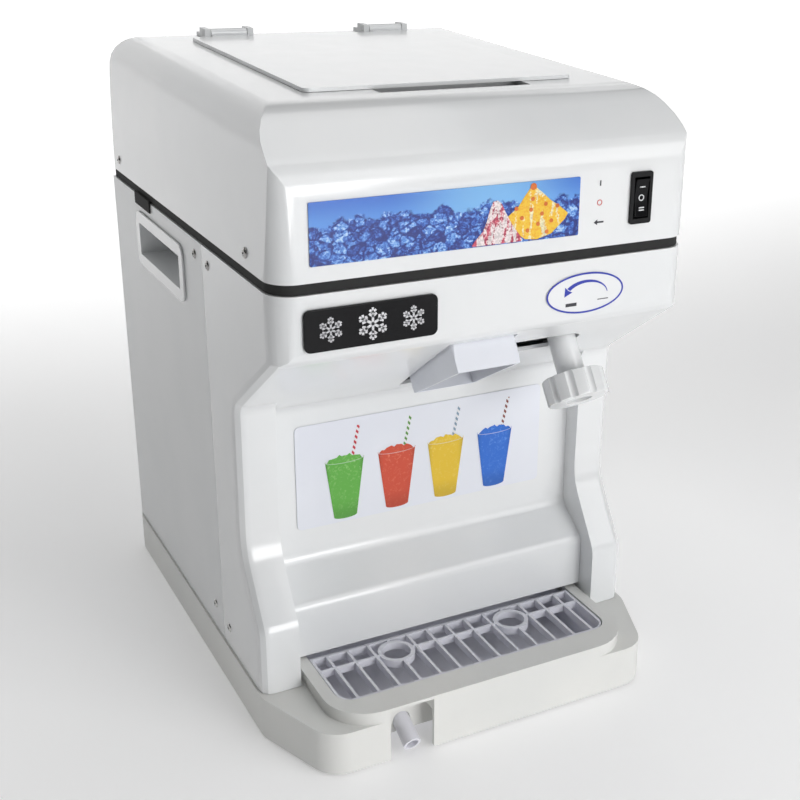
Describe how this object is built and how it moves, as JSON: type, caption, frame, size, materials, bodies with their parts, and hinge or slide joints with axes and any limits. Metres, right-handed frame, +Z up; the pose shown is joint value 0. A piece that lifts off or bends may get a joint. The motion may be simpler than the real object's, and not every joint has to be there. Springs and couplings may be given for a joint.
{
  "type": "shaved ice machine",
  "caption": "Counter-top electric ice shaver with a hinged loading lid, belt-driven cutting drum, blade adjuster knob, chute over a cup bay and a drip tray with a lift-off grille.",
  "frame": {"origin": "middle of the machine's bounding box, on the surface that the rubber feet stand on", "axes": "+Z up, front (chute, knob and drip tray) faces -Y, +X to the right of someone who looks at the front"},
  "size_m": [0.3216, 0.4164, 0.4853],
  "materials": {
    "white_gloss": "glossy moulded white plastic",
    "white_paint": "white painted sheet",
    "white_matte": "satin off-white moulded plastic",
    "grille_white": "satin white moulded plastic with a faint blue cast",
    "black_rubber": "black rubber",
    "black_gloss": "glossy black plastic",
    "black_matte": "satin black plastic",
    "blue_print": "printed blue film",
    "white_print": "printed pale film",
    "steel": "brushed stainless steel",
    "aluminium": "cast and machined aluminium",
    "motor_grey": "grey painted motor can"
  },
  "bodies": {
    "machine": {"base": "white_matte", "foot_front_left": "black_rubber", "foot_rear_left": "black_rubber", "foot_front_right": "black_rubber", "foot_rear_right": "black_rubber", "drip_pan": "grille_white", "drain_spout": "grille_white", "front_housing": "white_gloss", "side_panel_left": "white_paint", "side_panel_right": "white_paint", "handle_left": "white_gloss", "handle_right": "white_gloss", "rear_panel": "white_paint", "mains_gland": "black_matte", "hood_gasket": "black_rubber", "hood": "white_gloss", "frame_plate": "steel", "frame_rail_left": "steel", "frame_rail_right": "steel", "bearing_housing": "aluminium", "shaft_bearing_1": "steel", "shaft_bearing_2": "steel", "drive_belt": "black_rubber", "motor_plate": "steel", "motor": "motor_grey", "motor_capacitor": "black_matte", "cutting_drum": "aluminium", "hopper": "steel", "chute": "grille_white", "hinge_bracket_left": "steel", "hinge_bracket_right": "steel", "hinge_pin_left": "steel", "hinge_pin_right": "steel", "interlock_switch": "black_matte", "switch_bezel": "black_matte", "badge": "black_gloss", "banner": "blue_print", "cup_picture": "white_print", "dial_label": "white_print"},
    "lid": {"lid": "white_gloss"},
    "rotor_group": {"rotor": "aluminium", "rotor_shaft": "steel", "driven_pulley": "aluminium"},
    "motor_rotor": {"motor_shaft": "steel", "motor_pulley": "steel"},
    "adjuster": {"adjuster_knob": "white_gloss", "adjuster_screw": "steel"},
    "cutter": {"blade_carrier": "aluminium", "blade": "steel", "blade_screw_1": "steel", "blade_screw_2": "steel"},
    "grille": {"drip_grille": "grille_white"},
    "rocker": {"switch_rocker": "black_gloss"},
    "plunger": {"interlock_plunger": "steel"}
  },
  "joints": [
    {"name": "lid_hinge", "type": "hinge", "parent": "machine", "child": "lid", "pos_m": [0, 0.14264, 0.48163], "axis": [-1, 0, 0], "range_deg": [0, 100]},
    {"name": "rotor_spin", "type": "hinge", "parent": "machine", "child": "rotor_group", "pos_m": [0, -0.00436, 0.362], "axis": [0, 1, 0], "continuous": true},
    {"name": "motor_spin", "type": "hinge", "parent": "machine", "child": "motor_rotor", "pos_m": [0, -0.00436, 0.172], "axis": [0, 1, 0], "continuous": true},
    {"name": "adjuster_turn", "type": "hinge", "parent": "machine", "child": "adjuster", "pos_m": [0.08, -0.15036, 0.28562], "axis": [0, 0.5764, 0.8171], "range_deg": [0, 270]},
    {"name": "cutter_slide", "type": "slide", "parent": "machine", "child": "cutter", "axis": [0, 0.5764, 0.8171], "range_m": [0, 0.0015]},
    {"name": "grille_lift", "type": "slide", "parent": "machine", "child": "grille", "axis": [0, 0, 1], "range_m": [0, 0.03]},
    {"name": "rocker_tilt", "type": "hinge", "parent": "machine", "child": "rocker", "pos_m": [0.1128, -0.18836, 0.3992], "axis": [1, 0, 0], "range_deg": [-11, 11]},
    {"name": "plunger_slide", "type": "slide", "parent": "machine", "child": "plunger", "axis": [0, 0, -1], "range_m": [0, 0.002]}
  ],
  "couplings": [
    {"joint": "motor_spin", "follows": "rotor_spin", "ratio": 3.4375},
    {"joint": "adjuster_turn", "follows": "cutter_slide", "rad_per_m": 3141.6}
  ]
}
